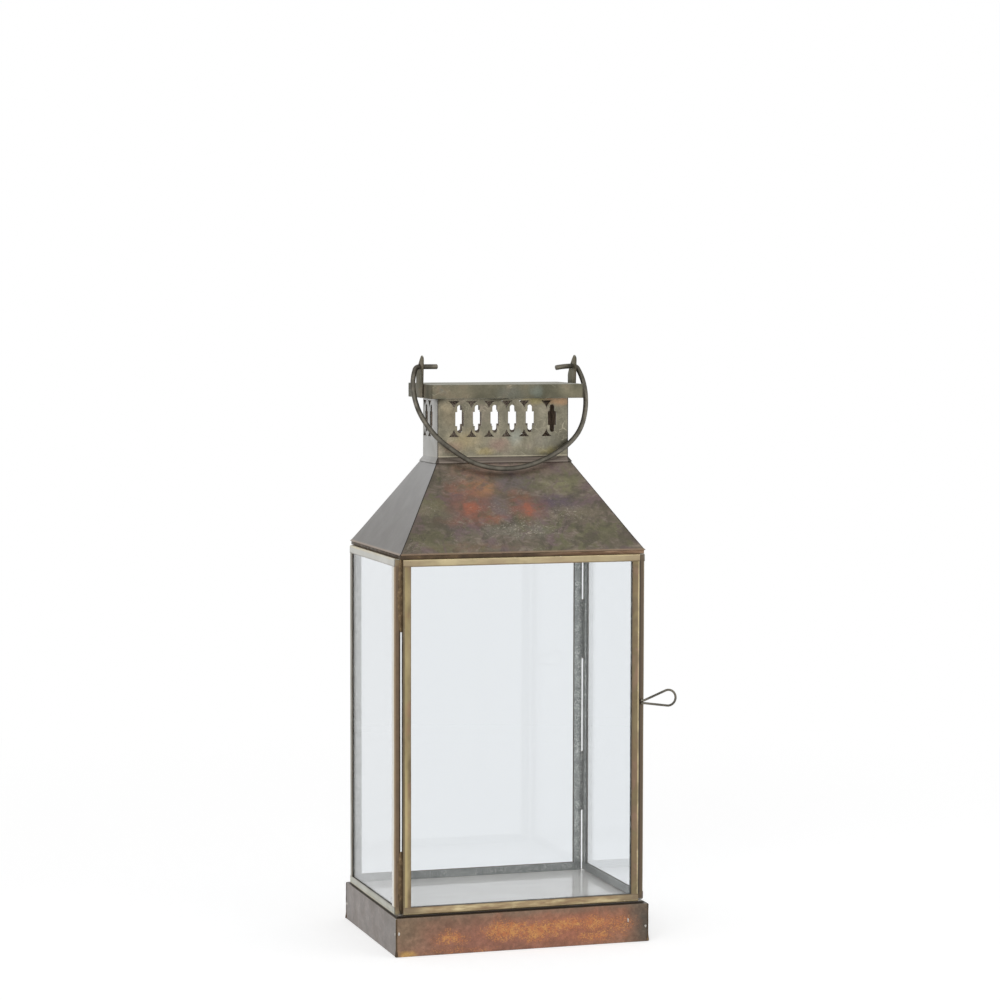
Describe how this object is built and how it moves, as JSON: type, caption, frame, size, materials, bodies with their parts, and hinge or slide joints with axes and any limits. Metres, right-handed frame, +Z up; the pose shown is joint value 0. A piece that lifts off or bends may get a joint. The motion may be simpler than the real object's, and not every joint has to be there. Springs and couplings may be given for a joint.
{
  "type": "candle lantern",
  "caption": "Tall glazed tin candle lantern on a shallow base, with a side door, hipped roof, punched vent chimney, flat cap and swinging wire bail.",
  "frame": {"origin": "middle of the base's underside", "axes": "+X along the wide front towards the door, +Y to the back, +Z up"},
  "size_m": [0.1811, 0.1206, 0.3576],
  "materials": {
    "base_sheet": "aged copper-brown patina",
    "roof_sheet": "dark olive-brown patina with heat tints",
    "chimney_sheet": "grey-khaki patina",
    "frame_channel": "antique brass, worn",
    "bare_sheet": "bare galvanised, dull",
    "hinge_metal": "tarnished",
    "solder": "dull grey solder, darkened",
    "wire": "dark oxidised wire",
    "glass": "clear"
  },
  "bodies": {
    "lantern": {"back_bottom_rail": "frame_channel", "back_glass": "glass", "back_left_solder": "solder", "back_left_stile": "frame_channel", "back_right_stile": "frame_channel", "back_top_rail": "frame_channel", "base_bottom": "bare_sheet", "base_corner_beads": "solder", "base_pan": "base_sheet", "cap": "chimney_sheet", "chimney_back": "chimney_sheet", "chimney_front": "chimney_sheet", "chimney_left": "chimney_sheet", "chimney_right": "chimney_sheet", "eave_frame": "bare_sheet", "floor_plate": "bare_sheet", "front_bottom_rail": "frame_channel", "front_glass": "glass", "front_left_solder": "solder", "front_left_stile": "frame_channel", "front_right_stile": "frame_channel", "front_top_rail": "frame_channel", "left_back_stile": "frame_channel", "left_bottom_rail": "frame_channel", "left_ear": "chimney_sheet", "left_front_stile": "frame_channel", "left_glass": "glass", "left_top_rail": "frame_channel", "lower_hinge_frame_leaf": "hinge_metal", "lower_hinge_pin": "hinge_metal", "right_ear": "chimney_sheet", "roof_back": "roof_sheet", "roof_front": "roof_sheet", "roof_left": "roof_sheet", "roof_right": "roof_sheet", "upper_hinge_frame_leaf": "hinge_metal", "upper_hinge_pin": "hinge_metal"},
    "door": {"door_back_stile": "frame_channel", "door_bottom_rail": "frame_channel", "door_front_stile": "frame_channel", "door_glass": "glass", "door_pull": "wire", "door_top_rail": "frame_channel", "lower_hinge_door_leaf": "hinge_metal", "upper_hinge_door_leaf": "hinge_metal"},
    "bail": {"bail": "wire"}
  },
  "joints": [
    {"name": "door_swing", "type": "hinge", "parent": "lantern", "child": "door", "pos_m": [0.077, 0.0543, 0.1311], "axis": [0, 0, 1], "range_deg": [0, 165]},
    {"name": "bail_swing", "type": "hinge", "parent": "lantern", "child": "bail", "pos_m": [0, -0.0015, 0.3506], "axis": [-1, 0, 0], "range_deg": [0, 315]}
  ]
}
